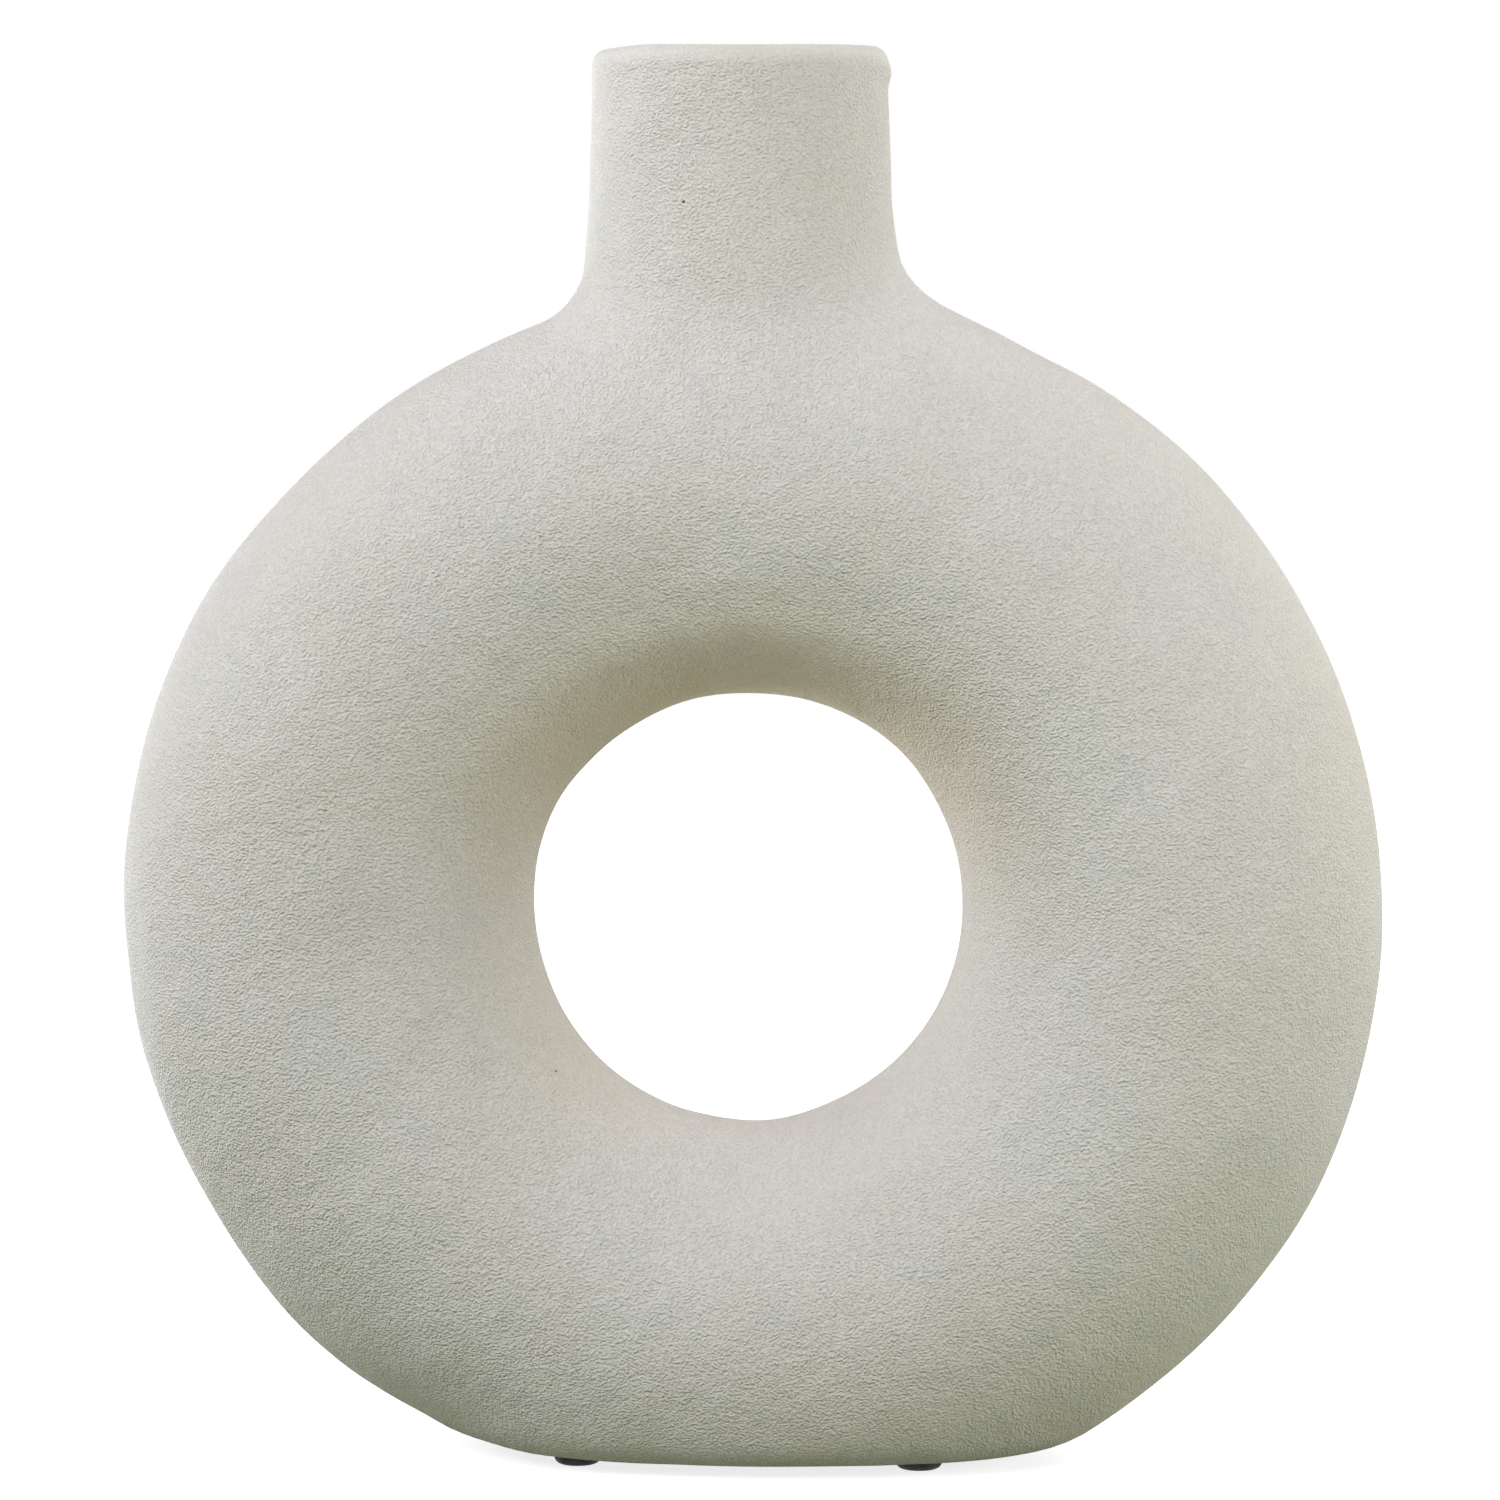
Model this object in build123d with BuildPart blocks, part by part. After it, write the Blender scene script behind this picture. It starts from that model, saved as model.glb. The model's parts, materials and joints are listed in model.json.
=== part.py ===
from build123d import *
import math
import os

# Donut vase: a hollow ring of fired clay with an oval neck, standing on four rubber bumpers.
# Lengths are in millimetres. The bumpers rest at height zero, +Z is up, the front faces -Y and
# the origin lies under the middle of the ring.

# Ring
ring_diameter = 215.0
hole_diameter = 73.4
ring_depth = 64.0
base_cut = 14.7
base_edge_radius = 6.0

# Neck, measured on its outside
neck_rise = 37.8
mouth_width = 50.5
mouth_depth = 42.0
neck_flare = 1.4
neck_shift = -1.6
shoulder_radius = 9.0

# Clay wall
wall = 5.0
floor_thickness = 6.0
floor_corner_radius = 4.5
inner_shoulder_radius = 6.0
lip_round_share = 0.46

# Stick-on rubber bumpers under the base
bumper_diameter = 8.0
bumper_height = 1.6
bumper_edge_radius = 1.3
adhesive_thickness = 0.2
adhesive_margin = 0.2
bumper_across_share = 0.535
bumper_along_share = 0.44
bumper_shift = 0.5

# How far a cutting form runs past the face that it opens
overrun = 10.0

# The tube that goes round the hole has an oval section
ring_radius = ring_diameter / 2
tube_radius_across = (ring_diameter - hole_diameter) / 4
tube_centre_radius = (ring_diameter + hole_diameter) / 4
tube_radius_along = ring_depth / 2

# Heights above the table
base_height = bumper_height + adhesive_thickness
ring_height = base_height + ring_radius - base_cut
neck_root_height = ring_height + tube_centre_radius
lip_height = ring_height + ring_radius + neck_rise

# The flat under the ring is an oval, cut where the tube's section is this deep
base_drop = ring_radius - base_cut
base_half_width = math.sqrt(ring_radius**2 - base_drop**2)
section_share = (base_drop - tube_centre_radius) / tube_radius_across
base_half_depth = tube_radius_along * math.sqrt(1 - section_share**2)


def ring_and_neck(inset, floor_height, top_height, corner_radius, junction_radius):
    """The ring with its neck, drawn in from the outer surface by an inset."""
    with BuildPart() as form:
        # The section's seam is turned to the hole side, away from the neck and the base
        with BuildSketch(Plane.XY.offset(ring_height)):
            with Locations((tube_centre_radius, 0)):
                Ellipse(tube_radius_across - inset, tube_radius_along - inset, rotation=180)
        revolve(axis=Axis((0, 0, ring_height), (0, 1, 0)))

        # The neck is an oval tube, a little wider at its root inside the ring
        with BuildSketch(Plane.XY.offset(neck_root_height)):
            with Locations((neck_shift, 0)):
                Ellipse(mouth_width / 2 + neck_flare - inset, mouth_depth / 2 + neck_flare - inset)
        with BuildSketch(Plane.XY.offset(lip_height)):
            with Locations((neck_shift, 0)):
                Ellipse(mouth_width / 2 - inset, mouth_depth / 2 - inset)
        loft()
        fillet(form.edges(Select.NEW), junction_radius)

        # Past the lip the oval runs on straight
        if top_height > lip_height:
            extrude(form.faces().sort_by(Axis.Z)[-1], amount=top_height - lip_height)

        # The base is cut flat and its edge is rolled
        split(bisect_by=Plane.XY.offset(floor_height), keep=Keep.TOP)
        fillet(form.faces().sort_by(Axis.Z)[0].edges(), corner_radius)
    return form.part


os.makedirs("parts", exist_ok=True)

# The clay body, one casting with an even wall round a chamber that opens at the mouth
outside = ring_and_neck(0, base_height, lip_height, base_edge_radius, shoulder_radius)
chamber = ring_and_neck(
    wall,
    base_height + floor_thickness,
    lip_height + overrun,
    floor_corner_radius,
    inner_shoulder_radius,
)
with BuildPart() as vase_body:
    add(outside)
    add(chamber, mode=Mode.SUBTRACT)
    lip = vase_body.faces().filter_by(Axis.Z).sort_by(Axis.Z)[-1]
    fillet(lip.edges(), wall * lip_round_share)
vase_body.part.label = "vase_body"
export_step(vase_body.part, "parts/vase_body.step")

# Each bumper is stuck to the flat base, inside the rolled edge, and the four sit a little to the right
across = base_half_width * bumper_across_share
along = base_half_depth * bumper_along_share
bumper_places = {
    "front_left": (bumper_shift - across, -along),
    "front_right": (bumper_shift + across, -along),
    "rear_left": (bumper_shift - across, along),
    "rear_right": (bumper_shift + across, along),
}
for place, (x, y) in bumper_places.items():
    # A soft disc whose lower edge is rounded to a smaller flat foot
    with BuildPart() as bumper:
        with BuildSketch(Plane((x, y, 0))):
            Circle(bumper_diameter / 2)
        extrude(amount=bumper_height)
        fillet(bumper.edges().group_by(Axis.Z)[0], bumper_edge_radius)
    bumper.part.label = f"bumper_{place}"
    export_step(bumper.part, f"parts/bumper_{place}.step")

    # A thin disc of adhesive fills the space between the bumper and the clay
    with BuildPart() as adhesive:
        with BuildSketch(Plane((x, y, bumper_height))):
            Circle(bumper_diameter / 2 - adhesive_margin)
        extrude(amount=adhesive_thickness)
    adhesive.part.label = f"adhesive_{place}"
    export_step(adhesive.part, f"parts/adhesive_{place}.step")
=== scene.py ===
import json
import math

import bpy
import numpy as np
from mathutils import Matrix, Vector

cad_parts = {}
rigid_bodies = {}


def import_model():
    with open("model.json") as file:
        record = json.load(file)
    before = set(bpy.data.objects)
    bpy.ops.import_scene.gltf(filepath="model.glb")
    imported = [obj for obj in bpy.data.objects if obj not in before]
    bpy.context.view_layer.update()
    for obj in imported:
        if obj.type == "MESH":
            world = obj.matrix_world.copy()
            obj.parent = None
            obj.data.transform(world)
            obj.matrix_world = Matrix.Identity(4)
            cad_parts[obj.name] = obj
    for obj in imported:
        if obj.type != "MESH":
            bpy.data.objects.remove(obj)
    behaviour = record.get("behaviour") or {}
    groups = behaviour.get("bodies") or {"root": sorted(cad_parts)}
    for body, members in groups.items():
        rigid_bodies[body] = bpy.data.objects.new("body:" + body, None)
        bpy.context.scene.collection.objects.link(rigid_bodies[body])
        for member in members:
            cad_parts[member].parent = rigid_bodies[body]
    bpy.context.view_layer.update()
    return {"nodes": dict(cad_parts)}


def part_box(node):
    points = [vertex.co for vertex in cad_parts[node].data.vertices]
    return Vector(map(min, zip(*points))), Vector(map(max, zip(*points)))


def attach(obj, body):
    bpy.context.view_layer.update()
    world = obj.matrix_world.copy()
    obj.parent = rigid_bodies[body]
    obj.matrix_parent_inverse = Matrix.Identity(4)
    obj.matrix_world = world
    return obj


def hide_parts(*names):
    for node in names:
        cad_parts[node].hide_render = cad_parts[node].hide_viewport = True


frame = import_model()
scene = bpy.context.scene
mm = 0.001
print("frame loaded")


def addNode(tree, kind, inputs=None, **settings):
    node = tree.nodes.new(kind)
    for name, value in settings.items():
        setattr(node, name, value)
    for name, value in (inputs or {}).items():
        if isinstance(value, bpy.types.Node):
            value = value.outputs[0]
        if isinstance(value, bpy.types.NodeSocket):
            tree.links.new(value, node.inputs[name])
        else:
            node.inputs[name].default_value = value
    return node


def hexColour(text):
    # sRGB hex to the linear colour that a shader socket takes
    shares = [int(text[i : i + 2], 16) / 255 for i in (0, 2, 4)]
    return [s / 12.92 if s <= 0.04045 else ((s + 0.055) / 1.055) ** 2.4 for s in shares] + [1.0]


# Vase body: a ring with an oval neck, slip cast in one piece and fettled by hand. Sizes in mm,
# angles in degrees round the hole, 0 to the right and 90 up to the neck.
bodyLow, bodyHigh = (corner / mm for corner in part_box("vase_body"))
vase = {
    "holeRadius": 36.5,
    "tubeInset": 0.6,  # keeps the ring inside the solid's box, for the swells
    "depthInset": 0.5,
    "baseCut": 14.7,
    "neckHalfWidth": 24.87,
    "neckHalfDepth": 21.0,
    "neckShift": -1.67,
    "neckFlare": 1.4,
    "flareOver": 73.0,  # mm below the lip where the neck is wider by the flare
    "neckRoot": 60.0,  # over the ring's centre
    "wall": 5.0,
    "floorThickness": 6.0,
    "lipRadiusLeft": 2.7,
    "lipRadiusRight": 2.6,
    "lipRadiusInside": 1.5,
    "lipMiddle": 3.3,  # from the neck's outside to where the lip's two roundings meet
    "lipDip": 0.12,
    "lipDipSpread": 9.0,
    "lipFall": 0.5,  # the lip sits lower at its left end
    "lipFallRange": (15.0, 25.0),  # mm left of the middle
    "lipBlend": (-22.0, 18.0),  # x where the lip's left rounding gives way to the right one
    "shoulderLeft": 6.8,
    "shoulderRight": 7.5,
    "footLeft": 0.9,  # how far the neck spreads just above the ring
    "footRight": 1.6,
    "footRange": (24.0, 41.0),  # mm below the lip
    "sideBlend": 20.0,  # mm each side of the middle over which left gives way to right
    "baseRollLeft": 4.0,
    "baseRollRight": 3.5,
    "rollBlend": 50.0,
    "chamberRoll": 5.0,
    # where the fettled ring swells or sits low: angle, spread, mm
    "swells": (
        (25, 13, -0.3),
        (47, 6, -0.1),
        (62.5, 5, -0.85),
        (74, 3, 0.9),
        (90, 40, -1.1),
        (110, 5, -0.4),
        (125, 20, -1.35),
        (138, 7, -0.35),
        (155, 7, -0.2),
        (168, 22, 0.45),
        (192, 12, 0.18),
        (207, 6, -0.55),
        (222, 16, -0.75),
        (228, 9, 0.5),
        (241, 12, -2.6),
        (252, 9, 0.9),
        (294, 6, 0.6),
        (303, 4, -0.25),
        (316, 9, 0.3),
        (336, 10, 1.05),
        (357, 10, 0.2),
    ),
    "holeSwells": (
        (5, 12, -0.25),
        (45, 22, 0.4),
        (90, 15, -0.5),
        (140, 7, -0.15),
        (162, 28, 0.85),
        (228, 30, 0.75),
        (272, 16, 0.95),
        (320, 16, -0.35),
    ),
    # soft finger dents: x, height over the ring's centre, -1 front or 1 back, spread, mm
    "dents": (
        (-6, 66, -1, 13, -0.35),
        (42, 69, -1, 12, -0.3),
        (-26, 63, -1, 9, 0.25),
        (-58, 52, -1, 14, -0.3),
        (-72, -10, -1, 13, -0.35),
        (60, -48, -1, 15, 0.3),
        (8, 70, 1, 14, -0.3),
        (-66, 30, 1, 15, -0.35),
        (58, -40, 1, 12, -0.3),
        (76, 18, 1, 13, 0.25),
    ),
    # a drop of glaze that ran over the lip: x, mm below the lip, spread, mm
    "drop": (23.9, 4.4, 1.8, 0.65),
    "dropStretch": 3.0,  # how much longer the drop is round the lip than down it
    # soft creases across the front: x, height over the ring's centre, turn, half length, spread, mm
    "creases": (
        (12, 48.5, -14, 13, 2.6, 0.16),
        (2, 60, -8, 11, 3.0, 0.12),
        (41, 66, 22, 10, 3.0, -0.12),
        (-61, -26, 58, 12, 3.2, 0.14),
        (22, -84, 12, 12, 3.0, 0.12),
    ),
    # the front folds into the hole at the upper left: angle, spread, then for its crest and its
    # hollow mm outside the hole, spread, mm
    "fold": (112, 52, (12.0, 4.5, 0.7), (4.5, 3.5, -0.4)),
    # the hole's edge rubbed flat at the lower left: angle, spread, front edge, mm
    "rubbed": (250, 9, -4.2, -0.25),
    "rubbedReach": (2.0, 9.0),  # mm outside the hole
    "rubbedBlend": 0.5,
    # mm from the mould's seam over which each kind of hand work comes in
    "dentEdge": (0.0, 12.0),
    "waveEdge": (3.0, 13.0),
    "creaseEdge": (4.0, 12.0),
    "foldEdge": (5.0, 14.0),
    "waves": ((34.0, 0.11, 1.0), (13.0, 0.06, 0.1)),  # length, height, share left at the seam
    "wavesOfEach": 9,
    "waveSpanShares": (0.7, 1.6),
    "seamHeight": 0.12,
    "seamWidth": 1.1,
}
vase["ringRadius"] = (bodyHigh.x - bodyLow.x) / 2 - vase["tubeInset"]
vase["halfDepth"] = (bodyHigh.y - bodyLow.y) / 2 - vase["depthInset"]
vase["baseDrop"] = (bodyHigh.x - bodyLow.x) / 2 - vase["baseCut"]
vase["centreHeight"] = bodyLow.z + vase["baseDrop"]
vase["lipRise"] = bodyHigh.z - vase["centreHeight"]


def ovalDistance(u, v, halfU, halfV):
    # about the distance to an oval's edge, minus inside it
    share = np.sqrt((u / halfU) ** 2 + (v / halfV) ** 2) + 1e-9
    slope = np.sqrt((u / halfU**2) ** 2 + (v / halfV**2) ** 2) + 1e-9
    return share * (share - 1) / slope


def roundedJoin(first, second, radius):
    both = np.hypot(np.maximum(radius - first, 0), np.maximum(radius - second, 0))
    return np.maximum(radius, np.minimum(first, second)) - both


def roundedCut(first, second, radius):
    both = np.hypot(np.maximum(radius + first, 0), np.maximum(radius + second, 0))
    return np.minimum(-radius, np.maximum(first, second)) + both


def eased(value, low, high):
    share = np.clip((value - low) / (high - low), 0, 1)
    return share * share * (3 - 2 * share)


def swelled(angle, radius, swells):
    for at, spread, height in swells:
        away = (angle - at + 180) % 360 - 180
        radius = radius + height * np.exp(-((away / spread) ** 2))
    return radius


def handWork(x, y, z, angle):
    # what hands leave on a cast surface: low waves, dents, a glaze drop and the rubbed edge
    height = np.zeros_like(x)
    for dentX, dentZ, side, spread, depth in vase["dents"]:
        away = ((x - dentX) ** 2 + (z - dentZ) ** 2) / spread**2
        height += depth * np.exp(-away) * eased(side * y, *vase["dentEdge"])
    rng = np.random.default_rng(7)
    for waveLength, waveHeight, seamShare in vase["waves"]:
        kept = seamShare + (1 - seamShare) * eased(np.abs(y), *vase["waveEdge"])
        for _ in range(vase["wavesOfEach"]):
            way = rng.normal(size=3)
            way *= 2 * math.pi / waveLength / np.linalg.norm(way) * rng.uniform(*vase["waveSpanShares"])
            phase = rng.uniform(0, 2 * math.pi)
            height += kept * waveHeight / 2 * np.sin(way[0] * x + way[1] * y + way[2] * z + phase)
    dropX, dropFall, dropSpread, dropHeight = vase["drop"]
    away = (x - dropX) ** 2 + (y / vase["dropStretch"]) ** 2 + (z - vase["lipRise"] + dropFall) ** 2
    height += dropHeight * np.exp(-away / dropSpread**2)
    for creaseX, creaseZ, turn, halfLength, spread, creaseHeight in vase["creases"]:
        turnCos, turnSin = math.cos(math.radians(turn)), math.sin(math.radians(turn))
        along = ((x - creaseX) * turnCos + (z - creaseZ) * turnSin) / halfLength
        away = ((z - creaseZ) * turnCos - (x - creaseX) * turnSin) / spread
        height += creaseHeight * np.exp(-(along**2) - away**2) * eased(-y, *vase["creaseEdge"])
    foldAngle, foldSpread, *foldLines = vase["fold"]
    along = np.exp(-(((angle - foldAngle) / foldSpread) ** 2)) * eased(-y, *vase["foldEdge"])
    for outside, spread, foldHeight in foldLines:
        away = (np.hypot(x, z) - vase["holeRadius"] - outside) / spread
        height += foldHeight * along * np.exp(-(away**2))
    rubbedAngle, rubbedSpread, frontEdge, rubbedHeight = vase["rubbed"]
    reachFrom, reachTo = vase["rubbedReach"]
    nearHole = 1 - eased(np.hypot(x, z), vase["holeRadius"] + reachFrom, vase["holeRadius"] + reachTo)
    along = np.exp(-(((angle - rubbedAngle) / rubbedSpread) ** 2))
    behindEdge = eased(y, frontEdge - vase["rubbedBlend"], frontEdge + vase["rubbedBlend"])
    height += rubbedHeight * along * nearHole * behindEdge
    return height


def bodyDistance(points, inner):
    # about the distance in mm to the clay's outer face, or to the chamber's where inner is 1
    x, y, z = points.T
    outside = 1 - inner
    inset = inner * vase["wall"]
    angle = np.degrees(np.arctan2(z, x)) % 360
    outer = swelled(angle, vase["ringRadius"], vase["swells"])
    hole = swelled(angle, vase["holeRadius"], vase["holeSwells"])
    middle, across = (outer + hole) / 2, (outer - hole) / 2
    ring = ovalDistance(np.hypot(x, z) - middle, y, across - inset, vase["halfDepth"] - inset)
    side = eased(x, -vase["sideBlend"], vase["sideBlend"])
    below = vase["lipRise"] - z
    foot = vase["footLeft"] + (vase["footRight"] - vase["footLeft"]) * side
    flare = vase["neckFlare"] * np.clip(below / vase["flareOver"], 0, 2)
    flare = flare + foot * eased(below, *vase["footRange"]) - inset
    neck = ovalDistance(x - vase["neckShift"], y,
                        vase["neckHalfWidth"] + flare, vase["neckHalfDepth"] + flare)
    neck = np.maximum(neck, vase["neckRoot"] - z)
    shoulder = vase["shoulderLeft"] + (vase["shoulderRight"] - vase["shoulderLeft"]) * side
    body = roundedJoin(ring, neck, shoulder)
    seam = vase["seamHeight"] * np.exp(-((y / vase["seamWidth"]) ** 2))
    body = body - outside * (handWork(x, y, z, angle) + seam)
    rollSide = eased(x, -vase["rollBlend"], vase["rollBlend"])
    roll = vase["baseRollLeft"] + (vase["baseRollRight"] - vase["baseRollLeft"]) * rollSide
    roll = roll + inner * (vase["chamberRoll"] - roll)
    body = roundedCut(body, -z - vase["baseDrop"] + inner * vase["floorThickness"], roll)
    clay = np.where(inner > 0.5, -body, body)
    lipSide = eased(x, *vase["lipBlend"])
    lip = vase["lipRadiusLeft"] + (vase["lipRadiusRight"] - vase["lipRadiusLeft"]) * lipSide
    lip = lip + inner * (vase["lipRadiusInside"] - lip)
    dip = vase["lipDip"] * np.exp(-((x / vase["lipDipSpread"]) ** 2))
    dip = dip + vase["lipFall"] * eased(-x, *vase["lipFallRange"])
    return roundedCut(clay, z - vase["lipRise"] + dip, lip)


def settle(points, inner, steps=9, nudge=0.02, reach=2.5):
    # walks each point down the slope of the distance until it lies on the surface
    for _ in range(steps):
        gap = bodyDistance(points, inner)
        slope = np.empty_like(points)
        for axis in range(3):
            ahead, behind = points.copy(), points.copy()
            ahead[:, axis] += nudge
            behind[:, axis] -= nudge
            slope[:, axis] = (bodyDistance(ahead, inner) - bodyDistance(behind, inner)) / (2 * nudge)
        length = np.clip(gap / ((slope**2).sum(1) + 1e-6), -reach, reach)
        points = points - length[:, None] * slope
    return points


skinInputs = {
    "Inset": "NodeSocketFloat",
    "Tube Middle": "NodeSocketFloat",
    "Tube Half Size": "NodeSocketVector",
    "Opening Half Width": "NodeSocketFloat",
    "Opening Rise": "NodeSocketFloat",
    "Neck Half Size": "NodeSocketVector",
    "Lip Centre": "NodeSocketVector",
    "Lip Middle": "NodeSocketFloat",
    "Segments Around": "NodeSocketInt",
    "Segments In Section": "NodeSocketInt",
}
# the neck's rows: mm below the lip, share of the curl over the lip, share of the way to the oval
neckRows = (
    (38.0, 0.0, 0.5),
    (29.0, 0.0, 1.0),
    (13.0, 0.0, 1.0),
    (3.6, 0.0, 1.0),
    (0.6, 0.3, 1.0),
    (0.0, 1.0, 1.0),
)


def makeSkinTree():
    # one skin of the vase, from the ring up to the middle of the lip, drawn in by its inset
    tree = bpy.data.node_groups.new("vaseSkin", "GeometryNodeTree")
    tree.interface.new_socket("Skin", in_out="OUTPUT", socket_type="NodeSocketGeometry")
    for name, kind in skinInputs.items():
        tree.interface.new_socket(name, in_out="INPUT", socket_type=kind)
    given = addNode(tree, "NodeGroupInput").outputs

    # an oval section swept round the hole
    spine = addNode(tree, "GeometryNodeCurvePrimitiveCircle",
                    {"Resolution": given["Segments Around"], "Radius": given["Tube Middle"]})
    upright = addNode(tree, "GeometryNodeSetCurveNormal", {"Curve": spine}, mode="Z_UP")
    section = addNode(tree, "GeometryNodeCurvePrimitiveCircle",
                      {"Resolution": given["Segments In Section"], "Radius": 1.0})
    oval = addNode(tree, "GeometryNodeTransform", {"Geometry": section, "Scale": given["Tube Half Size"]})
    tube = addNode(tree, "GeometryNodeCurveToMesh", {"Curve": upright, "Profile Curve": oval})
    ring = addNode(tree, "GeometryNodeTransform", {"Geometry": tube, "Rotation": (math.radians(90), 0, 0)})

    # the crown's faces make way for the neck
    place = addNode(tree, "GeometryNodeInputPosition")
    apart = addNode(tree, "ShaderNodeSeparateXYZ", {0: place}).outputs
    nearMiddle = addNode(tree, "ShaderNodeMath", {0: apart["X"], 1: 0.0, 2: given["Opening Half Width"]},
                         operation="COMPARE")
    nearCrown = addNode(tree, "ShaderNodeMath", {0: apart["Z"], 1: given["Opening Rise"]},
                        operation="GREATER_THAN")
    crown = addNode(tree, "ShaderNodeMath", {0: nearMiddle, 1: nearCrown}, operation="MULTIPLY")
    opened = addNode(tree, "GeometryNodeDeleteGeometry", {"Geometry": ring, "Selection": crown},
                     domain="FACE")

    # each point of the opening's edge keeps its way from the neck's middle
    fromMiddle = addNode(tree, "ShaderNodeVectorMath", {0: place, 1: given["Lip Centre"]},
                         operation="SUBTRACT")
    level = addNode(tree, "ShaderNodeVectorMath", {0: fromMiddle, 1: (1, 1, 0)}, operation="MULTIPLY")
    shares = addNode(tree, "ShaderNodeVectorMath", {0: level, 1: given["Neck Half Size"]},
                     operation="DIVIDE")
    neckWay = addNode(tree, "ShaderNodeVectorMath", {0: shares}, operation="NORMALIZE")
    marked = addNode(tree, "GeometryNodeStoreNamedAttribute",
                     {"Geometry": opened, "Name": "neckWay", "Value": neckWay},
                     data_type="FLOAT_VECTOR", domain="POINT")
    way = addNode(tree, "GeometryNodeInputNamedAttribute", {"Name": "neckWay"}, data_type="FLOAT_VECTOR")
    inward = addNode(tree, "ShaderNodeMath", {0: given["Inset"], 1: -1.0}, operation="MULTIPLY")
    normal = addNode(tree, "GeometryNodeInputNormal")
    drawIn = addNode(tree, "ShaderNodeVectorMath", {0: normal, "Scale": inward}, operation="SCALE")
    skin = addNode(tree, "GeometryNodeSetPosition", {"Geometry": marked, "Offset": drawIn})

    # the neck grows out of the opening's edge, row by row
    faces = addNode(tree, "GeometryNodeInputMeshEdgeNeighbors")
    edge = addNode(tree, "FunctionNodeCompare", {2: faces, 3: 1}, data_type="INT", operation="EQUAL")
    for below, curl, share in neckRows:
        grown = addNode(tree, "GeometryNodeExtrudeMesh",
                        {"Mesh": skin, "Selection": edge, "Offset Scale": 0.0}, mode="EDGES").outputs
        drawnIn = addNode(tree, "ShaderNodeMix", {0: curl, 2: given["Inset"], 3: given["Lip Middle"]})
        rowSize = addNode(tree, "ShaderNodeVectorMath", {0: given["Neck Half Size"], 1: drawnIn},
                          operation="SUBTRACT")
        rowCentre = addNode(tree, "ShaderNodeVectorMath", {0: given["Lip Centre"], 1: (0, 0, below)},
                            operation="SUBTRACT")
        row = addNode(tree, "ShaderNodeVectorMath", {0: way, 1: rowSize, 2: rowCentre},
                      operation="MULTIPLY_ADD")
        blend = addNode(tree, "ShaderNodeMix", {0: share, 4: place, 5: row}, data_type="VECTOR").outputs[1]
        skin = addNode(tree, "GeometryNodeSetPosition",
                       {"Geometry": grown["Mesh"], "Selection": grown["Top"], "Position": blend})
        edge = grown["Top"]
    addNode(tree, "NodeGroupOutput", {"Skin": skin})
    return tree


def makeBodyTree(skinTree):
    # outer skin and chamber, joined at the lip and subdivided
    tree = bpy.data.node_groups.new("vaseBodyForm", "GeometryNodeTree")
    tree.interface.new_socket("Geometry", in_out="OUTPUT", socket_type="NodeSocketGeometry")
    tree.interface.new_socket("Geometry", in_out="INPUT", socket_type="NodeSocketGeometry")
    shared = [name for name in skinInputs if name != "Inset"]
    for name in shared:
        tree.interface.new_socket(name, in_out="INPUT", socket_type=skinInputs[name])
    tree.interface.new_socket("Wall", in_out="INPUT", socket_type="NodeSocketFloat")
    tree.interface.new_socket("Subdivisions", in_out="INPUT", socket_type="NodeSocketInt")
    tree.interface.new_socket("Clay", in_out="INPUT", socket_type="NodeSocketMaterial")
    given = addNode(tree, "NodeGroupInput").outputs
    outer = addNode(tree, "GeometryNodeGroup", node_tree=skinTree)
    chamber = addNode(tree, "GeometryNodeGroup", {"Inset": given["Wall"]}, node_tree=skinTree)
    for name in shared:
        tree.links.new(given[name], outer.inputs[name])
        tree.links.new(given[name], chamber.inputs[name])
    turned = addNode(tree, "GeometryNodeFlipFaces", {"Mesh": chamber})
    joined = addNode(tree, "GeometryNodeJoinGeometry")
    for skin, isInner in ((outer, 0.0), (turned, 1.0)):
        marked = addNode(tree, "GeometryNodeStoreNamedAttribute",
                         {"Geometry": skin, "Name": "inner", "Value": isInner},
                         data_type="FLOAT", domain="POINT")
        tree.links.new(marked.outputs[0], joined.inputs[0])
    merged = addNode(tree, "GeometryNodeMergeByDistance", {"Geometry": joined, "Distance": 0.01})
    smooth = addNode(tree, "GeometryNodeSubdivisionSurface",
                     {"Mesh": merged, "Level": given["Subdivisions"]})
    real = addNode(tree, "GeometryNodeRealizeInstances", {"Geometry": smooth})
    dressed = addNode(tree, "GeometryNodeSetMaterial", {"Geometry": real, "Material": given["Clay"]})
    addNode(tree, "NodeGroupOutput", {"Geometry": dressed})
    return tree


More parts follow.
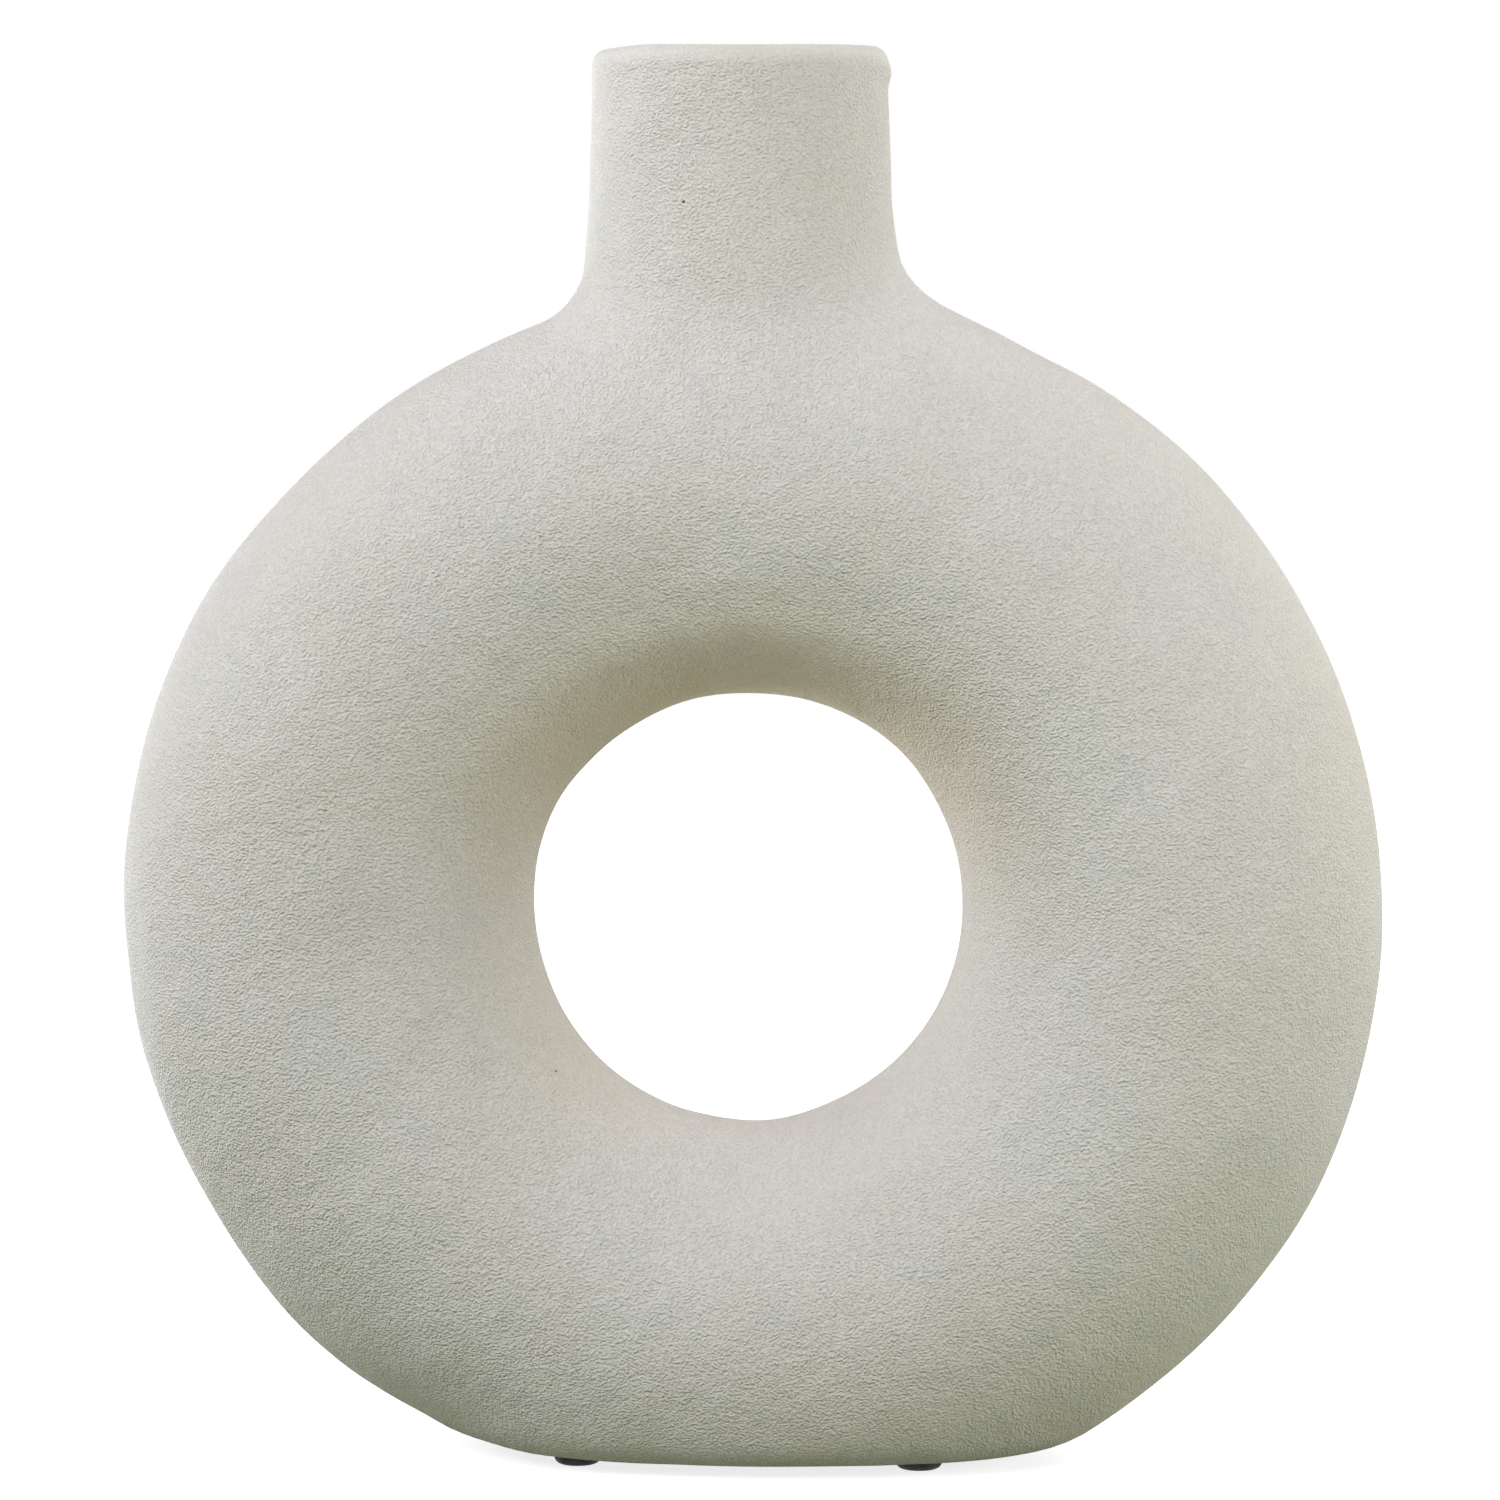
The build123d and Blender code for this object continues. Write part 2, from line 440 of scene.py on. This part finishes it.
def makeVaseBody(clay):
    tree = makeBodyTree(makeSkinTree())
    tubeMiddle = (vase["ringRadius"] + vase["holeRadius"]) / 2
    sizes = {
        "Tube Middle": tubeMiddle,
        "Tube Half Size": (tubeMiddle - vase["holeRadius"], vase["halfDepth"], 1.0),
        "Opening Half Width": vase["ringRadius"] / 3,
        "Opening Rise": vase["ringRadius"] * 0.75,
        "Neck Half Size": (vase["neckHalfWidth"], vase["neckHalfDepth"], 1.0),
        "Lip Centre": (vase["neckShift"], 0.0, vase["lipRise"]),
        "Lip Middle": vase["lipMiddle"],
        "Segments Around": 32,
        "Segments In Section": 16,
        "Wall": vase["wall"],
        "Subdivisions": 3,
        "Clay": clay,
    }
    carrier = bpy.data.objects.new("vaseBodyCarrier", bpy.data.meshes.new("vaseBodyCarrier"))
    scene.collection.objects.link(carrier)
    form = carrier.modifiers.new("form", "NODES")
    form.node_group = tree
    for socket in tree.interface.items_tree:
        if socket.in_out == "INPUT" and socket.name in sizes:
            form[socket.identifier] = sizes[socket.name]
    seen = bpy.context.evaluated_depsgraph_get()
    mesh = bpy.data.meshes.new_from_object(carrier.evaluated_get(seen))
    bpy.data.objects.remove(carrier)

    # the plain mesh settles onto the vase's form, in mm from the ring's centre, and then moves to its place
    count = len(mesh.vertices)
    points = np.empty(count * 3)
    mesh.vertices.foreach_get("co", points)
    inner = np.empty(count)
    mesh.attributes["inner"].data.foreach_get("value", inner)
    points = settle(points.reshape(-1, 3), np.round(inner))
    points[:, 2] += vase["centreHeight"]
    mesh.vertices.foreach_set("co", (points * mm).ravel())
    mesh.polygons.foreach_set("use_smooth", [True] * len(mesh.polygons))
    mesh.update()
    mesh.name = "vaseBody"
    body = bpy.data.objects.new("vaseBody", mesh)
    scene.collection.objects.link(body)
    print("vase body:", count, "points,", len(mesh.polygons), "faces")
    return body


# Matt stoneware: cast clay under a thin sprayed glaze with sand in it, fired matt. It shows fine
# wrinkled grain with small pits, a soft uneven tone and a few iron specks, and hardly any shine.
# Shade is painted into the colour in the grain's hollows and under the top of the hole.
clayFinish = {
    "glaze": "e6dfd4",
    "glazeWarm": "e3dacb",
    "glazeGrey": "dbd7d0",
    # painted shade: a darker, warmer tone for the shaded band under the top of the hole
    "paintedWarmShade": "e2d3bb",
    "speck": "2a221c",
    "cloudMm": 45.0,
    "patchMm": 9.0,
    "grainMm": 0.41,
    "grainTurn": 12.0,
    "grainStretch": (0.9, 1.0, 1.05),
    "wrinkleMm": 1.0,
    "wrinkleShare": 0.4,
    "lumpMm": 4.5,
    "lumpShare": 0.9,
    "reliefMm": 0.46,
    "roughness": 0.82,
    "roughnessSpread": 0.08,
    "lipBandMm": 2.4,
    "lipSandShare": 0.3,
    "warmShadeFromMm": 22.0,  # outside the hole, where the painted warm shade starts and where it is strongest
    "warmShadeToMm": 3.0,
    "warmShadeRiseMm": 30.0,
    "warmShadeShare": 0.9,
    # iron specks on the front and back: x, y, z and radius in mm
    "specks": (
        (-9.5, -20.4, 213.8, 0.24),
        (-31.7, -15.4, 67.7, 0.16),
        (48.0, 31.6, 150.0, 0.2),
        (-61.0, 30.0, 88.0, 0.17),
    ),
}


def makeClay():
    material = bpy.data.materials.new("matt stoneware, sprayed sand glaze")
    material.use_nodes = True
    tree = material.node_tree
    tree.nodes.clear()
    place = addNode(tree, "ShaderNodeTexCoord").outputs["Object"]

    # relief: sprayed grains and the wrinkles between them, a little longer across than up, over soft lumps
    grainTurn = (0, math.radians(clayFinish["grainTurn"]), 0)
    grainSpace = addNode(tree, "ShaderNodeMapping",
                         {"Vector": place, "Rotation": grainTurn, "Scale": clayFinish["grainStretch"]})
    grain = addNode(tree, "ShaderNodeTexNoise",
                    {"Vector": grainSpace, "Scale": 1 / (clayFinish["grainMm"] * mm), "Detail": 0.5,
                     "Roughness": 0.5})
    wrinkles = addNode(tree, "ShaderNodeTexNoise",
                       {"Vector": grainSpace, "Scale": 1 / (clayFinish["wrinkleMm"] * mm), "Detail": 1.0,
                        "Roughness": 0.5})
    lumps = addNode(tree, "ShaderNodeTexNoise",
                    {"Vector": place, "Scale": 1 / (clayFinish["lumpMm"] * mm), "Detail": 1.0})
    fine = addNode(tree, "ShaderNodeMath", {0: wrinkles, 1: clayFinish["wrinkleShare"], 2: grain},
                   operation="MULTIPLY_ADD")
    relief = addNode(tree, "ShaderNodeMath", {0: lumps, 1: clayFinish["lumpShare"], 2: fine},
                     operation="MULTIPLY_ADD")

    # tone: broad clouds of warmer glaze, small greyer patches, painted warm shade under the top of the hole
    # and painted shade in the grain's hollows
    clouds = addNode(tree, "ShaderNodeTexNoise",
                     {"Vector": place, "Scale": 1 / (clayFinish["cloudMm"] * mm), "Detail": 3.0})
    cloudShare = addNode(tree, "ShaderNodeMapRange", {0: clouds, 1: 0.35, 2: 0.7})
    tone = addNode(tree, "ShaderNodeMix",
                   {0: cloudShare, 6: hexColour(clayFinish["glaze"]),
                    7: hexColour(clayFinish["glazeWarm"])}, data_type="RGBA").outputs[2]
    patches = addNode(tree, "ShaderNodeTexNoise",
                      {"Vector": place, "Scale": 1 / (clayFinish["patchMm"] * mm), "Detail": 3.0})
    patchShare = addNode(tree, "ShaderNodeMapRange", {0: patches, 1: 0.5, 2: 0.8, 4: 0.5})
    tone = addNode(tree, "ShaderNodeMix", {0: patchShare, 6: tone, 7: hexColour(clayFinish["glazeGrey"])},
                   data_type="RGBA").outputs[2]
    # painted shade: the surface under the top of the hole, which faces down into shade, gets a darker and
    # warmer tone
    fromRing = addNode(tree, "ShaderNodeVectorMath", {0: place, 1: (0, 0, vase["centreHeight"] * mm)},
                       operation="SUBTRACT")
    inFace = addNode(tree, "ShaderNodeVectorMath", {0: fromRing, 1: (1, 0, 1)}, operation="MULTIPLY")
    fromAxis = addNode(tree, "ShaderNodeVectorMath", {0: inFace}, operation="LENGTH").outputs["Value"]
    nearHole = addNode(tree, "ShaderNodeMapRange",
                       {0: fromAxis, 1: (vase["holeRadius"] + clayFinish["warmShadeFromMm"]) * mm,
                        2: (vase["holeRadius"] + clayFinish["warmShadeToMm"]) * mm})
    overHole = addNode(tree, "ShaderNodeSeparateXYZ", {0: fromRing}).outputs["Z"]
    underTop = addNode(tree, "ShaderNodeMapRange", {0: overHole, 1: 0.0, 2: clayFinish["warmShadeRiseMm"] * mm,
                                                    4: clayFinish["warmShadeShare"]})
    warmShadeShare = addNode(tree, "ShaderNodeMath", {0: nearHole, 1: underTop}, operation="MULTIPLY")
    tone = addNode(tree, "ShaderNodeMix", {0: warmShadeShare, 6: tone, 7: hexColour(clayFinish["paintedWarmShade"])},
                   data_type="RGBA").outputs[2]
    # painted shade: the colour darkens in the grain's hollows, where the relief is lowest
    paintedPitShade = addNode(tree, "ShaderNodeMapRange", {0: grain, 1: 0.3, 2: 0.6, 3: 0.9, 4: 1.0})
    tone = addNode(tree, "ShaderNodeMix", {0: 1.0, 6: tone, 7: paintedPitShade}, data_type="RGBA",
                   blend_type="MULTIPLY").outputs[2]

    # specks: the share of a speck at each point, 1 within its radius
    speckShare = 0.0
    for x, y, z, radius in clayFinish["specks"]:
        away = addNode(tree, "ShaderNodeVectorMath", {0: place, 1: (x * mm, y * mm, z * mm)},
                       operation="DISTANCE").outputs["Value"]
        spot = addNode(tree, "ShaderNodeMapRange", {0: away, 1: radius * 1.6 * mm, 2: radius * 0.7 * mm})
        speckShare = addNode(tree, "ShaderNodeMath", {0: spot, 1: speckShare}, operation="MAXIMUM")
    colour = addNode(tree, "ShaderNodeMix", {0: speckShare, 6: tone, 7: hexColour(clayFinish["speck"])},
                     data_type="RGBA").outputs[2]

    # the wiped lip carries less sand
    height = addNode(tree, "ShaderNodeSeparateXYZ", {0: place}).outputs["Z"]
    bandLow = bodyHigh.z - 1.5 * clayFinish["lipBandMm"]
    bandHigh = bodyHigh.z - 0.7 * clayFinish["lipBandMm"]
    sandShare = addNode(tree, "ShaderNodeMapRange",
                        {0: height, 1: bandLow * mm, 2: bandHigh * mm, 3: 1.0,
                         4: clayFinish["lipSandShare"]})
    bump = addNode(tree, "ShaderNodeBump",
                   {"Strength": sandShare, "Height": relief, "Distance": clayFinish["reliefMm"] * mm})
    dull = addNode(tree, "ShaderNodeMapRange",
                   {0: grain, 1: 0.3, 2: 0.7, 3: clayFinish["roughness"] + clayFinish["roughnessSpread"],
                    4: clayFinish["roughness"] - clayFinish["roughnessSpread"]})
    shader = addNode(tree, "ShaderNodeBsdfPrincipled",
                     {"Base Color": colour, "Roughness": dull, "IOR": 1.5, "Specular IOR Level": 0.35,
                      "Normal": bump})
    addNode(tree, "ShaderNodeOutputMaterial", {"Surface": shader})
    return material


# Moulded polyurethane rubber: near black, dull, with a little dust that catches the light.
rubberFinish = {
    "rubber": "17181a",
    "dust": "3a3a37",
    "dustMm": 1.6,
    "grainMm": 0.35,
    "reliefMm": 0.015,
    "roughness": 0.6,
}


def makeRubber():
    material = bpy.data.materials.new("moulded rubber")
    material.use_nodes = True
    tree = material.node_tree
    tree.nodes.clear()
    place = addNode(tree, "ShaderNodeTexCoord").outputs["Object"]
    dust = addNode(tree, "ShaderNodeTexNoise",
                   {"Vector": place, "Scale": 1 / (rubberFinish["dustMm"] * mm), "Detail": 4.0})
    dustShare = addNode(tree, "ShaderNodeMapRange", {0: dust, 1: 0.5, 2: 0.75, 4: 0.6})
    colour = addNode(tree, "ShaderNodeMix",
                     {0: dustShare, 6: hexColour(rubberFinish["rubber"]),
                      7: hexColour(rubberFinish["dust"])}, data_type="RGBA").outputs[2]
    grain = addNode(tree, "ShaderNodeTexNoise",
                    {"Vector": place, "Scale": 1 / (rubberFinish["grainMm"] * mm), "Detail": 2.0})
    bump = addNode(tree, "ShaderNodeBump", {"Height": grain, "Distance": rubberFinish["reliefMm"] * mm})
    dull = addNode(tree, "ShaderNodeMapRange", {0: dust, 1: 0.3, 2: 0.7, 3: rubberFinish["roughness"] - 0.1,
                                                4: rubberFinish["roughness"] + 0.2})
    shader = addNode(tree, "ShaderNodeBsdfPrincipled",
                     {"Base Color": colour, "Roughness": dull, "IOR": 1.52, "Normal": bump})
    addNode(tree, "ShaderNodeOutputMaterial", {"Surface": shader})
    return material


# Acrylic adhesive on a thin carrier: a milky film with small air bubbles pressed into it.
adhesiveFinish = {
    "film": "c4bba6",
    "bubble": "e2dccd",
    "bubbleMm": 0.7,
    "reliefMm": 0.02,
    "roughness": 0.35,
}


def makeAdhesive():
    material = bpy.data.materials.new("pressed acrylic adhesive")
    material.use_nodes = True
    tree = material.node_tree
    tree.nodes.clear()
    place = addNode(tree, "ShaderNodeTexCoord").outputs["Object"]
    cells = addNode(tree, "ShaderNodeTexVoronoi",
                    {"Vector": place, "Scale": 1 / (adhesiveFinish["bubbleMm"] * mm)}).outputs["Distance"]
    bubbleShare = addNode(tree, "ShaderNodeMapRange", {0: cells, 1: 0.35, 2: 0.15})
    colour = addNode(tree, "ShaderNodeMix",
                     {0: bubbleShare, 6: hexColour(adhesiveFinish["film"]),
                      7: hexColour(adhesiveFinish["bubble"])}, data_type="RGBA").outputs[2]
    bump = addNode(tree, "ShaderNodeBump", {"Height": cells, "Distance": adhesiveFinish["reliefMm"] * mm})
    shader = addNode(tree, "ShaderNodeBsdfPrincipled",
                     {"Base Color": colour, "Roughness": adhesiveFinish["roughness"], "IOR": 1.47,
                      "Normal": bump})
    addNode(tree, "ShaderNodeOutputMaterial", {"Surface": shader})
    return material


clay = makeClay()
body = makeVaseBody(clay)
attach(body, "root")
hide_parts("vase_body")

rubber, adhesive = makeRubber(), makeAdhesive()
for name, node in frame["nodes"].items():
    finish = rubber if name.startswith("bumper") else adhesive if name.startswith("adhesive") else None
    if finish:
        node.data.materials.clear()
        node.data.materials.append(finish)
        node.data.polygons.foreach_set("use_smooth", [True] * len(node.data.polygons))
print("bumpers and adhesive dressed")

# Studio: a white floor and soft boxes round the vase. Lengths in metres, angles in degrees: the turn
# goes from the front round by the viewer's right, and the rise from level to overhead.
studio = {
    "floorSide": 6.0,
    "paper": "d8d8d8",
    "bounce": "97a082",
    "floorGlow": 0.8,
    "shadowReach": 0.6,
    "sky": 0.0,  # the white that the camera sees behind the vase gives no light
    "aimHeight": 0.12,
    "coolLamp": "ecf1ff",  # the lamps on the viewer's left, and the card
    "warmLamp": "eff2f7",
    # name: turn, rise, distance, width, height, watts
    "lamps": {
        "backdrop": (180, 27.7, 1.355, 2.4, 1.4, 4.0),
        "backRight": (135, 32, 1.3, 0.9, 0.7, 5.1),
        "left": (270, 32, 1.3, 0.9, 0.7, 6.15),
        "frontLeft": (315, 32, 1.3, 0.9, 0.7, 11.4),
        "nearRightLow": (70, 3, 0.5, 0.3, 0.1, 0.88),
        "nearFrontTop": (20, 40, 0.6, 0.35, 0.3, 1.11),
        "nearBackRight": (110, 40, 0.6, 0.35, 0.3, 0.9),
    },
    # a lit white card that lies on the floor behind the vase: x, y, width, depth, watts
    "cards": {
        "cardLeft": (-0.35, 0.3, 0.4, 0.35, 4.4),
    },
    "cardHeight": 0.004,
}


def makeFloor():
    side = studio["floorSide"] / 2
    mesh = bpy.data.meshes.new("floor")
    corners = [(-side, -side, 0), (side, -side, 0), (side, side, 0), (-side, side, 0)]
    mesh.from_pydata(corners, [], [(0, 1, 2, 3)])
    floor = bpy.data.objects.new("floor", mesh)
    scene.collection.objects.link(floor)
    material = bpy.data.materials.new("white paper sweep")
    material.use_nodes = True
    tree = material.node_tree
    tree.nodes.clear()
    # the camera sees white paper that keeps the shadow near the vase, which gets a dimmer, olive bounce
    place = addNode(tree, "ShaderNodeTexCoord").outputs["Object"]
    away = addNode(tree, "ShaderNodeVectorMath", {0: place}, operation="LENGTH").outputs["Value"]
    glowShare = addNode(tree, "ShaderNodeMapRange",
                        {0: away, 1: studio["shadowReach"] / 2, 2: studio["shadowReach"],
                         3: studio["floorGlow"], 4: 1.0})
    paper = addNode(tree, "ShaderNodeBsdfDiffuse", {"Color": hexColour(studio["paper"])})
    glow = addNode(tree, "ShaderNodeEmission", {"Color": (1, 1, 1, 1), "Strength": glowShare})
    white = addNode(tree, "ShaderNodeAddShader", {0: paper, 1: glow})
    bounce = addNode(tree, "ShaderNodeBsdfDiffuse", {"Color": hexColour(studio["bounce"])})
    rays = addNode(tree, "ShaderNodeLightPath").outputs
    seen = addNode(tree, "ShaderNodeMath", {0: rays["Is Camera Ray"], 1: rays["Is Glossy Ray"]},
                   operation="MAXIMUM")
    seen = addNode(tree, "ShaderNodeMath", {0: seen, 1: rays["Is Transmission Ray"]}, operation="MAXIMUM")
    mix = addNode(tree, "ShaderNodeMixShader", {0: seen, 1: bounce, 2: white})
    addNode(tree, "ShaderNodeOutputMaterial", {"Surface": mix})
    mesh.materials.append(material)


def makeWorld():
    world = bpy.data.worlds.new("white studio")
    world.use_nodes = True
    scene.world = world
    tree = world.node_tree
    tree.nodes.clear()
    rays = addNode(tree, "ShaderNodeLightPath").outputs
    seen = addNode(tree, "ShaderNodeMath", {0: rays["Is Camera Ray"], 1: rays["Is Glossy Ray"]},
                   operation="MAXIMUM")
    seen = addNode(tree, "ShaderNodeMath", {0: seen, 1: rays["Is Transmission Ray"]}, operation="MAXIMUM")
    sky = addNode(tree, "ShaderNodeBackground", {"Color": (1, 1, 1, 1), "Strength": studio["sky"]})
    white = addNode(tree, "ShaderNodeBackground", {"Color": (1, 1, 1, 1), "Strength": 1.0})
    mix = addNode(tree, "ShaderNodeMixShader", {0: seen, 1: sky, 2: white})
    addNode(tree, "ShaderNodeOutputWorld", {"Surface": mix})


def placeLamp(name, width, height, watts, colour, location, turn):
    lamp = bpy.data.lights.new(name, "AREA")
    lamp.shape = "RECTANGLE"
    lamp.size = width
    lamp.size_y = height
    lamp.energy = watts
    lamp.color = hexColour(colour)[:3]
    holder = bpy.data.objects.new(name, lamp)
    holder.location = location
    holder.rotation_euler = turn
    holder.visible_camera = False
    scene.collection.objects.link(holder)


def makeLamps():
    aim = Vector((0, 0, studio["aimHeight"]))
    for name, (turn, rise, distance, width, height, watts) in studio["lamps"].items():
        turn, rise = math.radians(turn), math.radians(rise)
        way = Vector((math.cos(rise) * math.sin(turn), -math.cos(rise) * math.cos(turn), math.sin(rise)))
        colour = studio["coolLamp" if way.x < 0 else "warmLamp"]
        facing = way.to_track_quat("Z", "Y").to_euler()
        placeLamp(name, width, height, watts, colour, aim + way * distance, facing)
    for name, (x, y, width, depth, watts) in studio["cards"].items():
        location = (x, y, studio["cardHeight"])
        placeLamp(name, width, depth, watts, studio["coolLamp"], location, (math.radians(180), 0, 0))


# Camera: a long lens a little lower than the lip, and a little to the right of the front
photoCamera = {
    "imageSide": 1500,
    "focalPixels": 6378,
    "horizonRow": 194.5,
    "azimuth": 4.2,
    "distance": 1.08,
    "height": 0.215,
    "sensorMm": 36.0,
}


def makeCamera():
    lens = bpy.data.cameras.new("camera")
    lens.sensor_width = photoCamera["sensorMm"]
    lens.lens = photoCamera["focalPixels"] / photoCamera["imageSide"] * photoCamera["sensorMm"]
    lens.clip_start = 0.01
    camera = bpy.data.objects.new("camera", lens)
    turn = math.radians(photoCamera["azimuth"])
    aboveHorizon = photoCamera["imageSide"] / 2 - photoCamera["horizonRow"]
    dip = math.atan(aboveHorizon / photoCamera["focalPixels"])
    away = photoCamera["distance"]
    camera.location = (away * math.sin(turn), -away * math.cos(turn), photoCamera["height"])
    camera.rotation_euler = (math.radians(90) - dip, 0, turn)
    scene.collection.objects.link(camera)
    scene.camera = camera


makeFloor()
makeWorld()
makeLamps()
makeCamera()
scene.view_settings.view_transform = "Standard"
print("studio and camera placed")
